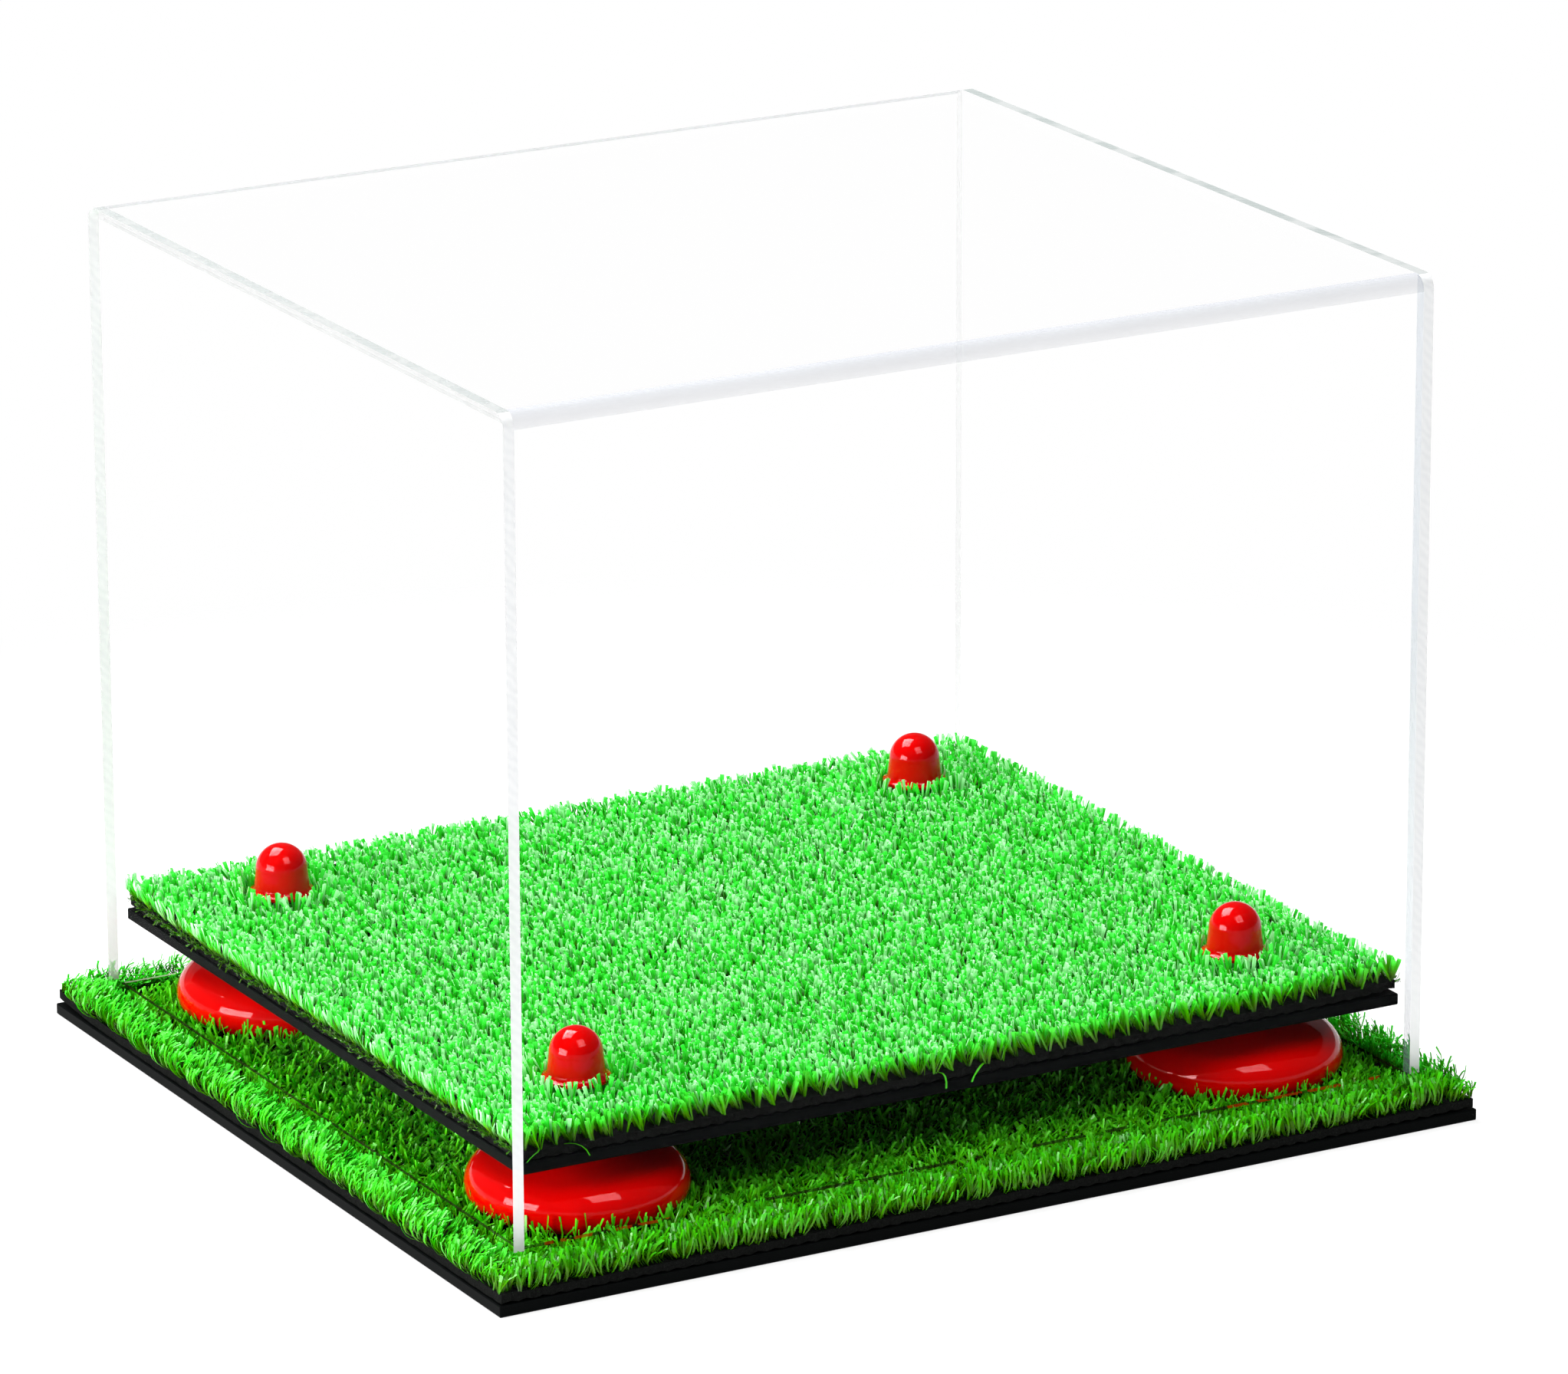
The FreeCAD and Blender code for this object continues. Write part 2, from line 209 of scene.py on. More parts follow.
# %% [markdown]
# ## Black acrylic
# Both plates are polished black acrylic. A black that is quite black has no depth, so it is a
# very dark blue-black, with a haze of fine scuffs in its polish and a few specks of dust.

# %% Black acrylic
SPECKS_PER_METRE = 420.0
SPECK_SIZE = 0.07
DUSTY_ABOVE = 0.6


def black_acrylic():
    finish = Finish(bpy.data.materials.new("black_acrylic"))
    spot = finish.spot()
    haze = finish.noise(spot, 45.0, 5.0)
    specks = finish.node("ShaderNodeTexVoronoi", (), {"Vector": spot, "Scale": SPECKS_PER_METRE})
    dust = (specks < SPECK_SIZE) * (finish.noise(spot, 30.0) > DUSTY_ABOVE)
    tint = finish.mix(haze, colour(0.001, 0.0012, 0.0012), colour(0.002, 0.0025, 0.0025))
    dusty = finish.mix(dust * 0.2, tint, colour(0.2, 0.21, 0.22))
    rough = 0.3 + haze * 0.2 + dust * 0.4
    return finish.done(finish.shine(Base_Color=dusty, Roughness=rough, Specular_IOR_Level=0.015))


BLACK_ACRYLIC = black_acrylic()
print("black acrylic for", [name for name in nodes if name.endswith("plate")])

# %% [markdown]
# ## Red plastic
# Feet and caps are moulded in glossy red. The feet stand in the stage's shade and are painted a
# lighter red than the caps, which stand in full light. Over each the colour is nearly even; what
# makes it look moulded is a faint waviness of the skin, which bends the reflections.

# %% Red plastic
CAPS_ABOVE = 45.0 * MM


def red_plastic():
    finish = Finish(bpy.data.materials.new("red_plastic"))
    spot = finish.spot()
    high_up = finish.node("ShaderNodeSeparateXYZ", (), {"Vector": spot}).output("Z") > CAPS_ABOVE
    cloud = finish.noise(spot, 35.0, 2.0)
    # Painted light and shade: the feet, in the stage's shade, get a lighter red than the caps in full
    # light.
    feet = finish.mix(cloud, colour(0.45, 0.0, 0.0), colour(0.52, 0.0, 0.0))
    caps = finish.mix(cloud, colour(0.32, 0.0, 0.0), colour(0.37, 0.0, 0.0))
    tint = finish.mix(high_up, feet, caps)
    wave = finish.bump(finish.noise(spot, 160.0, 2.0), 0.02, 0.0006)
    return finish.done(finish.shine(
        Base_Color=tint, Roughness=0.02 + cloud * 0.03, Normal=wave,
        Specular_IOR_Level=0.26, Specular_Tint=colour(1.0, 0.5, 0.52)))


RED_PLASTIC = red_plastic()
print("red plastic for", sum("foot" in name or "cap_" in name for name in nodes), "pieces")

# %% [markdown]
# ## Metal and tape
# Screws, threaded inserts and mounting tape are almost wholly hidden, yet they show when a cap
# is unscrewed or the turf is lifted, so each gets a quiet finish of its own.

# %% Metal and tape
def metal(name, dark, bright, roughness):
    finish = Finish(bpy.data.materials.new(name))
    spot = finish.spot()
    grain = finish.noise(spot, 700.0, 4.0)
    tint = finish.mix(grain, dark, bright)
    shine = finish.shine(Base_Color=tint, Metallic=1.0, Roughness=roughness + grain * 0.15)
    return finish.done(shine)


def foam_tape():
    finish = Finish(bpy.data.materials.new("mounting_tape"))
    spot = finish.spot()
    cells = finish.noise(spot, 1500.0, 3.0)
    tint = finish.mix(cells, colour(0.55, 0.55, 0.52), colour(0.72, 0.72, 0.7))
    pores = finish.bump(cells, 0.3, 0.0002)
    return finish.done(finish.shine(Base_Color=tint, Roughness=0.8, Normal=pores))


STEEL = metal("screw_steel", colour(0.5, 0.5, 0.52), colour(0.66, 0.66, 0.68), 0.25)
BRASS = metal("insert_brass", colour(0.62, 0.45, 0.18), colour(0.8, 0.6, 0.28), 0.2)
FOAM_TAPE = foam_tape()
print("metal and tape done")

# %% [markdown]
# ## Clear acrylic
# The cover is made of flat sheets with parallel faces, which shift what is behind them by a
# hair and mirror a little. Refracting solids would show that shift, at the price of dark
# edges, so the sheets let light straight through and mirror more the flatter they are seen.
# What does show of clear acrylic is its edges: sawn ones are frosted, the glued seam beside
# them is milky, and a bend gathers light into a pale band, painted here as light. The sawn edges
# are painted paler low down and darker on top, each seam gets a painted tint of its own, and where
# the sheets stand in the turf a dark line of painted shade is drawn, red beside the feet as a
# painted reflection. All of these are found by their place, so each is a mask that is 1 on its
# edge and 0 elsewhere. Where the bent sheet is glued to an end panel, two faces lie in one place,
# and only the panel's carries the seam, or the two would show as a mottle.

# %% Places on the cover
SHEET = 4.0 * MM
HAIR = 0.02 * MM
BEND = 5.5 * MM
SEAM = 5.3 * MM
GLINT_LOW, GLINT_HIGH = 2.0 * MM, 0.2 * MM
FLAT = 0.95


class CoverPlaces:
    """Masks for the edges of the cover's sheets; glued is 1.0 on a piece that shows the seam."""

    def __init__(self, finish, glued):
        low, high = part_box("cover_bent_sheet")
        self.spot = finish.spot()
        axes = finish.node("ShaderNodeSeparateXYZ", (), {"Vector": self.spot})
        facing = finish.node("ShaderNodeSeparateXYZ", (), {"Vector": self.spot.output("Normal")})
        self.x, y, self.z = abs(axes.output("X")), abs(axes.output("Y")), axes.output("Z")
        self.front, self.left = axes.output("Y") < 0.0, axes.output("X") < 0.0
        self.endwise = abs(facing.output("X")) > 0.5
        self.steep = abs(facing.output("Z"))
        self.level = self.steep > FLAT
        self.underside = self.level * (self.z < low[2] + HAIR)
        on_panel = self.x > high[0] + HAIR
        self.sawn = on_panel * (1.0 - self.endwise)
        self.joint = self.endwise * (abs(self.x - high[0]) < HAIR) * glued
        self.by_top = self.z > high[2] - SEAM
        self.by_sheet = y > high[1] - SHEET
        self.inner = self.joint | (1.0 - self.endwise) * (y < high[1] - SHEET / 2)
        out, up = y - (high[1] - BEND), self.z - (high[2] - BEND)
        outside = out * out + up * up > (BEND - SHEET / 2) ** 2
        self.roll = (1.0 - self.endwise) * (1.0 - on_panel) * (out > 0.0) * (up > 0.0) * outside
        self.glint = (self.z > high[2] - GLINT_LOW) * (self.z < high[2] - GLINT_HIGH)
        self.cloud = finish.noise(self.spot, 25.0)
        self.patch = finish.node("ShaderNodeMapRange", {"interpolation_type": "SMOOTHSTEP"}, {
            "Value": finish.noise(self.spot, 75.0, 2.0),
            "From Min": 0.4, "From Max": 0.62, "To Min": 0.55})


print("bend of", BEND / MM, "mm, seam of", SEAM / MM, "mm")

# %% [markdown]
# ## How much an edge hides
# An edge is neither clear nor quite opaque. Each has a share between 0, clear, and 1, and the
# shares differ with the side that the light falls on, as they do on the real cover.

# %% Shares of the edges
LINE_HIGH = 14.9 * MM
FRONT_SAWN, LEFT_SAWN = 0.95, 0.7
TOP_SAWN, TOP_SAWN_LESS = 0.85, 0.3
TOP_SEAM, TOP_SEAM_PATCHES = 0.3, 0.15
FRONT_SEAM, BACK_SEAM = 0.75, 0.55
BEND_SHARE, GLINT_SHARE = 0.25, 0.35
UNDERSIDE_SHARE = 0.6


def edge_shares(on):
    """How far each kind of edge hides what is behind it."""
    upright = on.front * FRONT_SAWN | on.left * LEFT_SAWN
    on_top = on.patch * (TOP_SAWN - on.left * TOP_SAWN_LESS)
    sawn = on.sawn * (on.z > LINE_HIGH) * (on.level * on_top | (1.0 - on.level) * upright)
    top_seam = on.by_top * on.left * (TOP_SEAM + on.patch * TOP_SEAM_PATCHES)
    front_seam = on.by_sheet * on.front * FRONT_SEAM
    back_seam = on.by_sheet * (1.0 - on.front) * (1.0 - on.left) * BACK_SEAM
    seam = on.joint * (top_seam | front_seam | back_seam)
    # Painted light: the pale band of a bend at the front, and a glint near the top of the bends.
    front_bend = on.front * (BEND_SHARE + on.steep * BEND_SHARE)
    bend = on.roll * (front_bend | on.glint * GLINT_SHARE)
    every = sawn | seam | bend | on.underside * UNDERSIDE_SHARE
    return {"top_seam": top_seam, "front_seam": front_seam, "seam": seam, "bend": bend, "all": every}


print("sawn edges hide", FRONT_SAWN, "of what is behind them at the front")

# %% Tints of the edges
FROST_LOW, FROST_HIGH = 15.0 * MM, 70.0 * MM
SOME = 0.01


def edge_tint(finish, on, shares, saw):
    """The tint of whichever edge this is, sawn, seam or bend, with its painted light and shade."""
    marks = saw * 0.4 + on.cloud * 0.6
    frost_and_painted_light = finish.mix(marks, colour(0.48, 0.49, 0.5), colour(0.57, 0.575, 0.575))
    painted_light_low = finish.node("ShaderNodeMapRange", (), {
        "Value": on.z, "From Min": FROST_LOW, "From Max": FROST_HIGH, "To Min": 1.0, "To Max": 0.0})
    # Painted light: low down, near the turf, the sawn edges are paler.
    frost_and_painted_light = finish.mix(painted_light_low, frost_and_painted_light, colour(0.62, 0.63, 0.63))
    # Painted shade: level sawn faces on top are darker against the strong light from above; the
    # underside takes the same grey.
    frost_and_painted_light = finish.mix(on.level * on.sawn | on.underside, frost_and_painted_light, colour(0.2, 0.225, 0.22))
    # Painted shade: the glue gets a tint of its own on each seam, darkest and bluest at the front and
    # darker on top than at the back.
    glue_and_shade = finish.mix(shares["front_seam"] > SOME, colour(0.28, 0.28, 0.285), colour(0.17, 0.195, 0.23))
    glue_and_shade = finish.mix(shares["top_seam"] > SOME, glue_and_shade, colour(0.215, 0.225, 0.22))
    # Painted light: the tint of the bends' pale band and glint.
    bend_light = finish.mix(on.cloud, colour(0.27, 0.285, 0.32), colour(0.32, 0.335, 0.37))
    edge = finish.mix(shares["bend"] > SOME, frost_and_painted_light, bend_light)
    return finish.mix(shares["seam"] > SOME, edge, glue_and_shade)


print("frost is paler below", FROST_HIGH / MM, "mm")

# %% The painted line in the turf
LINE_DEPTH, LINE_DEEPER = 0.5 * MM, 0.6 * MM
FOOT_AXIS = sum(corner[0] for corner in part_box("riser_foot_front_right")) / 2
FOOT_SHOWN = 34.0 * MM
RED_ABOVE, BROKEN_ABOVE = 0.52, 0.46


def painted_line_in_turf(finish, on):
    """The share and the shader of the line of painted shade where the sheets stand in the turf."""
    # Painted reflection: beside each foot the line turns red in places.
    red_reflection_by_foot = (abs(on.x - FOOT_AXIS) < FOOT_SHOWN) * (finish.noise(on.spot, 90.0) > RED_ABOVE)
    dark = finish.mix(red_reflection_by_foot, colour(0.012, 0.015, 0.003), colour(0.42, 0.03, 0.0))
    near = on.front | on.endwise
    # Painted shade at the front and the ends, and a painted pale line of light at the back.
    tint = finish.mix(near, colour(0.9, 0.95, 0.88), dark)
    broken = on.endwise | (finish.noise(on.spot, 55.0, 1.0) > BROKEN_ABOVE)
    depth = LINE_DEPTH + near * LINE_DEEPER
    height = (on.z > LINE_HIGH - depth) * (on.z < LINE_HIGH)
    share = height * on.inner * broken * (0.6 + on.cloud * 0.4)
    return share, finish.shine(Base_Color=tint, Roughness=0.5, Specular_IOR_Level=0.1)


print("line at", LINE_HIGH / MM, "mm")

# %% Clear acrylic
MIRROR, MIRROR_SQUARE_ON = 0.015, 0.04


def clear_acrylic(name, glued):
    """Clear sheet with its edges, seams, bends and the line in the turf."""
    finish = Finish(bpy.data.materials.new(name))
    on = CoverPlaces(finish, glued)
    clear = finish.node("ShaderNodeBsdfTransparent", (), {"Color": colour(1, 1, 1)})
    gloss = finish.node("ShaderNodeBsdfAnisotropic", (), {"Roughness": 0.02})
    slant = finish.node("ShaderNodeLayerWeight", (), {"Blend": 0.5}).output("Facing")
    square = slant * slant
    mirror = MIRROR * (MIRROR_SQUARE_ON + square * square * slant)
    pane = finish.node("ShaderNodeMixShader", (), {0: mirror, 1: clear, 2: gloss})
    saw = finish.node("ShaderNodeTexWave", {"bands_direction": "DIAGONAL"}, {
        "Vector": on.spot, "Scale": 160.0, "Distortion": 5.0, "Detail": 2.0})
    shares = edge_shares(on)
    tint = edge_tint(finish, on, shares, saw)
    edge = finish.shine(Base_Color=tint, Roughness=0.35 + saw * 0.2)
    framed = finish.node("ShaderNodeMixShader", (), {0: shares["all"], 1: pane, 2: edge})
    painted_line_share, line = painted_line_in_turf(finish, on)
    return finish.done(finish.node("ShaderNodeMixShader", (), {0: painted_line_share, 1: framed, 2: line}))


BENT_ACRYLIC = clear_acrylic("clear_bent_sheet", 0.0)
PANEL_ACRYLIC = clear_acrylic("clear_end_panel", 1.0)
print("clear acrylic for", [name for name in nodes if name.startswith("cover")])

# %% [markdown]
# ## Dress the drawn pieces
# Every drawn piece has one material slot. Its name says what it is made of, so a short table
# of name beginnings is enough to give each its finish.

# %% Give each drawn piece its finish
FINISHES = {
    "base_plate": BLACK_ACRYLIC,
    "platform_plate": BLACK_ACRYLIC,
    "riser_foot": RED_PLASTIC,
    "riser_cap": RED_PLASTIC,
    "riser_screw": STEEL,
    "cap_insert": BRASS,
    "base_turf_tape": FOAM_TAPE,
    "platform_turf_tape": FOAM_TAPE,
    "cover_bent_sheet": BENT_ACRYLIC,
    "cover_left_panel": PANEL_ACRYLIC,
    "cover_right_panel": PANEL_ACRYLIC,
}
for start, material in FINISHES.items():
    for name, node in nodes.items():
        if name.startswith(start):
            node.data.materials.clear()
            node.data.materials.append(material)
print("dressed", len(FINISHES), "kinds of drawn piece")

# %% [markdown]
# ## What turf is
# Turf like this is flat plastic tape, stitched in straight rows through a black sheet and cut
# to length. Every stitch leaves a tuft of a few blades that lean apart. A particle system could
# scatter hairs, but blades this wide are seen one by one, so each is a thin closed solid.
# All blades are laid on one map of 64 strips: the strip picks a blade's shade, and the height
# up the strip runs from its root to its tip. Up every strip the colour darkens towards the root,
# painted shade deep in the pile, and on the paler strips it whitens towards the tip, partly
# lighter yarn and partly a painted sheen. The first strips are the fresh turf of the stage, the
# next the turf of the stage's front row and of the base's combed border, painted darkest below
# as shade, and the last the worn turf under the stage. Tape this thin is ribbed and lets light
# through, so part of the light that falls on a blade's back comes out at its front.

# %% Turf green
MAP_NAME = "OFBake"
STRIPS = 64
FRESH_STRIPS = range(0, 28)
COMBED_STRIPS = range(28, 46)
WORN_STRIPS = range(46, STRIPS)
PALE_ABOVE, DEEP_BELOW, OLD_BELOW, RIB_BELOW = 0.5, 0.25, 0.35, 0.45


def turf_green():
    finish = Finish(bpy.data.materials.new("turf_pile"))
    on_map = finish.node("ShaderNodeUVMap", {"uv_map": MAP_NAME})
    axes = finish.node("ShaderNodeSeparateXYZ", (), {"Vector": on_map})
    over, up = axes.output("X") * STRIPS, axes.output("Y")
    strip = over.whole()
    shade = finish.node("ShaderNodeTexWhiteNoise", {"noise_dimensions": "1D"}, {"W": strip})
    ribs = finish.node("ShaderNodeTexNoise", {"noise_dimensions": "1D"}, {"W": over, "Scale": 6.0})
    # Each ramp darkens towards the root: painted shade deep in the pile.
    fresh = finish.ramp(up, [
        (0.0, (0.09, 0.20, 0.0)),
        (0.3, (0.16, 0.50, 0.0)),
        (0.65, (0.05, 0.85, 0.04)),
        (1.0, (0.16, 1.0, 0.18)),
    ])
    # The combed ramp is painted darkest below, as shade for the stage's front row and the border.
    combed = finish.ramp(up, [
        (0.0, (0.02, 0.05, 0.0)),
        (0.3, (0.08, 0.24, 0.0)),
        (0.65, (0.06, 0.62, 0.0)),
        (1.0, (0.13, 1.0, 0.10)),
    ])
    worn = finish.ramp(up, [
        (0.0, (0.06, 0.15, 0.0)),
        (0.3, (0.17, 0.52, 0.0)),
        (0.7, (0.16, 0.92, 0.0)),
        (1.0, (0.22, 1.0, 0.06)),
    ])
    # Pale strips whiten towards the tip: partly lighter yarn, partly a painted sheen.
    pale = finish.mix((shade > PALE_ABOVE) * up * (0.35 + ribs), fresh, colour(0.7, 1.0, 0.72))
    mid = finish.mix((shade < DEEP_BELOW) * 0.5, pale, colour(0.04, 0.6, 0.01))
    older = finish.mix(strip > COMBED_STRIPS[-1] + 0.5, combed, worn)
    older = finish.mix((shade < OLD_BELOW) * 0.5, older, colour(0.07, 0.4, 0.0))
    tint = finish.mix(strip > FRESH_STRIPS[-1] + 0.5, mid, older)
    ribbed = finish.mix(ribs < RIB_BELOW, tint, finish.mix(0.22, tint, colour(0.03, 0.4, 0.0)))
    tape = finish.shine(Base_Color=ribbed, Roughness=0.12 + shade * 0.25, Specular_IOR_Level=0.35)
    through = finish.node("ShaderNodeBsdfTranslucent", (), {"Color": ribbed})
    return finish.done(finish.node("ShaderNodeMixShader", (), {0: 0.5, 1: tape, 2: through}))


TURF_GREEN = turf_green()
print("turf green in", STRIPS, "shades")

# %% [markdown]
# ## One blade
# A three-sided cone with both ends closed is already a blade if it is squeezed flat: narrow at
# the root, wide and square at the cut tip. Cutting its long edges lets it bend along an arc,
# over its flat side as tape does, and crimp.

# %% Grow a blade
ACROSS = math.sqrt(3.0)
THROUGH = 1.5
BLADE_WIDTHS = (0.75, 1.15)
BROADER = 2.0
MAP_FILL, MAP_MARGIN, MAP_SLANT = 0.8, 0.03, 0.02


def grow_blade(kind, rng):
    """One blade standing at the origin, bent and crimped as its kind of turf is."""
    length = kind["length"] * MM * rng.uniform(*kind["cut"])
    width = kind["width"] * MM * rng.uniform(*BLADE_WIDTHS)
    if rng.random() < kind["broad"]:
        width *= BROADER
    radius = width / ACROSS
    bm = bmesh.new()
    bmesh.ops.create_cone(
        bm, cap_ends=True, segments=3, radius1=radius * kind["waist"], radius2=radius,
        depth=length, matrix=Matrix.Translation((0, 0, length / 2)))
    uprights = [e for e in bm.edges if abs(e.verts[0].co.z - e.verts[1].co.z) > length / 2]
    bmesh.ops.subdivide_edges(bm, edges=uprights, cuts=kind["cuts"])
    on_map = bm.loops.layers.uv.new(MAP_NAME)
    strip = rng.choice(kind["strips"])
    root, tip = kind["ramp_reach"]
    for face in bm.faces:
        for corner in face.loops:
            spot = corner.vert.co
            across = 0.5 + MAP_FILL * spot.x / width
            up = MAP_MARGIN + (1.0 - 2.0 * MAP_MARGIN) * spot.z / length + MAP_SLANT * spot.y / radius
            corner[on_map].uv = ((strip + across) / STRIPS, root + up * (tip - root))
    thin = kind["thickness"] * MM / (THROUGH * radius)
    bmesh.ops.scale(bm, vec=(1.0, thin, 1.0), verts=bm.verts)
    arc = rng.uniform(*kind["arc"])
    crimp = kind["crimp"] * MM
    phase = rng.uniform(0.0, math.tau)
    twist = rng.gauss(0.0, kind["twist"])
    for vert in bm.verts:
        up = vert.co.z / length
        turned = Matrix.Rotation(twist * up, 3, "Z") @ vert.co
        wave = phase + up * kind["waves"]
        angle = arc * up
        vert.co.x = turned.x + crimp * up * (math.sin(wave) - math.sin(phase))
        vert.co.y = length * (1.0 - math.cos(angle)) / arc + turned.y * math.cos(angle)
        vert.co.y += crimp * up * (math.cos(wave) - math.cos(phase))
        vert.co.z = length * math.sin(angle) / arc - turned.y * math.sin(angle)
    mesh = bpy.data.meshes.new("blade")
    bm.to_mesh(mesh)
    bm.free()
    return mesh


print("a blade is a squeezed three-sided cone")

# %% [markdown]
# ## A tuft
# The blades of one stitch come up through one hole and lean to both sides of the row, so seen
# along the row a tuft is a V. Sixteen tufts of a kind, turned and tilted at random, are enough
# that no repeat shows.

# %% Kinds of turf
STAGE = {"strips": FRESH_STRIPS, "ramp_reach": (0.0, 1.0),
         "blades": 9, "length": 8.6, "cut": (0.9, 1.03),
         "width": 1.4, "broad": 0.0, "waist": 0.55, "cuts": 1, "thickness": 0.2,
         "arc": (0.02, 0.3), "crimp": 0.15, "waves": 3.0, "twist": 0.25,
         "spread": (3, 33), "sway": 9, "turn": math.pi, "tilt": (0, 0), "run": 2.0}
# The front row takes the combed strips, which are painted darker below, as shade.
FRONT = {**STAGE, "strips": COMBED_STRIPS, "spread": (6, 24)}
FIELD = {"strips": WORN_STRIPS, "ramp_reach": (0.0, 1.0),
         "blades": 10, "length": 8.4, "cut": (0.7, 1.05),
         "width": 0.9, "broad": 0.06, "waist": 0.8, "cuts": 1, "thickness": 0.16,
         "arc": (0.3, 1.5), "crimp": 0.6, "waves": 5.5, "twist": 0.6,
         "spread": (10, 50), "sway": 22, "turn": math.pi, "tilt": (0, 0), "run": 2.0}
BORDER = {"strips": COMBED_STRIPS, "ramp_reach": (0.0, 1.0),
          "blades": 8, "length": 10.5, "cut": (0.7, 1.08),
          "width": 0.8, "broad": 0.08, "waist": 0.7, "cuts": 2, "thickness": 0.18,
          "arc": (0.5, 1.2), "crimp": 0.35, "waves": 4.5, "twist": 0.5,
          "spread": (1, 14), "sway": 7, "turn": 0.7, "tilt": (-14, 10), "run": 1.5}
EDGE = {"strips": COMBED_STRIPS, "ramp_reach": (0.0, 0.95),
        "blades": 7, "length": 12.5, "cut": (0.6, 1.1),
        "width": 0.8, "broad": 0.06, "waist": 0.7, "cuts": 3, "thickness": 0.18,
        "arc": (1.2, 2.2), "crimp": 0.3, "waves": 4.0, "twist": 0.4,
        "spread": (1, 14), "sway": 8, "turn": 0.6, "tilt": (-70, -25), "run": 1.5}
# Along the front the border keeps only the lower, darker part of its colour: painted shade from the
# stage above.
SHADED = {**BORDER, "ramp_reach": (0.0, 0.75)}
SHADED_EDGE = {**EDGE, "ramp_reach": (0.0, 0.72)}
# Stubs keep only the darkest end of the colour: painted shade under the turf above.
STUBBLE = {"strips": COMBED_STRIPS, "ramp_reach": (0.0, 0.12),
           "blades": 6, "length": 5.0, "cut": (0.5, 1.1),
           "width": 0.7, "broad": 0.0, "waist": 0.7, "cuts": 1, "thickness": 0.16,
           "arc": (0.1, 0.8), "crimp": 0.4, "waves": 5.0, "twist": 0.5,
           "spread": (5, 40), "sway": 10, "turn": 0.5, "tilt": (20, 80), "run": 1.6}
STRAY = {"strips": COMBED_STRIPS, "ramp_reach": (0.4, 0.7),
         "blades": 1, "length": 14.0, "cut": (0.7, 1.1),
         "width": 0.7, "broad": 0.0, "waist": 0.8, "cuts": 4, "thickness": 0.18,
         "arc": (1.2, 2.2), "crimp": 0.3, "waves": 4.0, "twist": 0.4,
         "spread": (1, 25), "sway": 8, "turn": 0.6, "tilt": (50, 80), "run": 0.5}
KINDS = {"stage": STAGE, "front": FRONT, "field": FIELD, "border": BORDER, "edge": EDGE,
         "shaded": SHADED, "shaded_edge": SHADED_EDGE, "stubble": STUBBLE, "stray": STRAY}
print("kinds of turf:", list(KINDS))

# %% Grow tufts
VARIANTS = 16
ROOT_ASIDE = (0.1, 0.6)


def grow_tuft(kind, rng):
    """A mesh of the blades of one stitch, rooted at the origin."""
    bm = bmesh.new()
    for index in range(kind["blades"]):
        side = 1 if index % 2 else -1
        blade = grow_blade(kind, rng)
        root = Vector((side * rng.uniform(*ROOT_ASIDE), rng.uniform(-1, 1) * kind["run"], 0.0)) * MM
        lean = math.radians(side * rng.uniform(*kind["spread"]))
        sway = math.radians(rng.gauss(0.0, kind["sway"]))
        turn = rng.uniform(-1, 1) * kind["turn"]
        tilt = math.radians(rng.uniform(*kind["tilt"]))
        blade.transform(
            Matrix.Translation(root)
            @ Matrix.Rotation(lean, 4, "Y")
            @ Matrix.Rotation(sway, 4, "X")
            @ Matrix.Rotation(turn, 4, "Z")
            @ Matrix.Rotation(-tilt, 4, "X"))
        bm.from_mesh(blade)
        bpy.data.meshes.remove(blade)
    mesh = bpy.data.meshes.new("tuft")
    bm.to_mesh(mesh)
    bm.free()
    return mesh


seeds = random.Random(11)
tufts = {}
for name, kind in KINDS.items():
    tufts[name] = [grow_tuft(kind, seeds) for _ in range(VARIANTS)]
    print(f"faces in a tuft of {name}: {len(tufts[name][0].polygons)}")

# %% [markdown]
# ## Where the turf lifts
# The backing is stuck down well inside its edge, so its free corners curl up a little. One
# function gives that lift anywhere on a sheet, for the backing and for the tufts on it.

# %% Curled corners
CURL_REACH = 45.0 * MM


def curl(spot, half_x, half_y, lifts):
    """How far a sheet has lifted at a place, by the lift of each of its corners."""
    lifted = 0.0
    for (side_x, side_y), lift in lifts.items():
        away = math.hypot(spot.x - side_x * half_x, spot.y - side_y * half_y)
        lifted += lift * MM * max(0.0, 1.0 - away / CURL_REACH) ** 2
    return lifted


BASE_LIFTS = {(-1, 1): 2.0, (-1, -1): 0.3, (1, -1): 0.5, (1, 1): 1.0}
STAGE_LIFTS = {(-1, 1): 1.4, (-1, -1): 0.2, (1, -1): 1.6, (1, 1): 0.8}
print("corner lifts in mm:", list(BASE_LIFTS.values()), list(STAGE_LIFTS.values()))

# %% [markdown]
# ## Sowing
# A tuft is set at every stitch by copying its mesh, moving the copy and adding it to one big
# mesh. What stands next to the turf presses it aside: the cover's walls, the feet and the caps
# are smooth and hard, so any corner of a blade that would end up inside one is pushed out. Beside
# a wall a little of the overshoot is kept, so that the corners don't all end in one plane.

# %% Sow a piece of turf
GIVE = 0.03


def sow(name, places, press):
    """One piece of turf: a tuft at each place, pressed clear of what stands beside it."""
    bm = bmesh.new()
    for tuft, matrix in places:
        copy = tuft.copy()
        copy.transform(matrix)
        bm.from_mesh(copy)
        bpy.data.meshes.remove(copy)
    for vert in bm.verts:
        press(vert.co)
    mesh = bpy.data.meshes.new(name)
    bm.to_mesh(mesh)
    triangles = sum(len(face.verts) - 2 for face in bm.faces)
    bm.free()
    mesh.materials.append(TURF_GREEN)
    piece = bpy.data.objects.new(name, mesh)
    bpy.context.collection.objects.link(piece)
    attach(piece, "base")
    print(f"{name}: {len(places)} tufts, {triangles} triangles")
    return piece


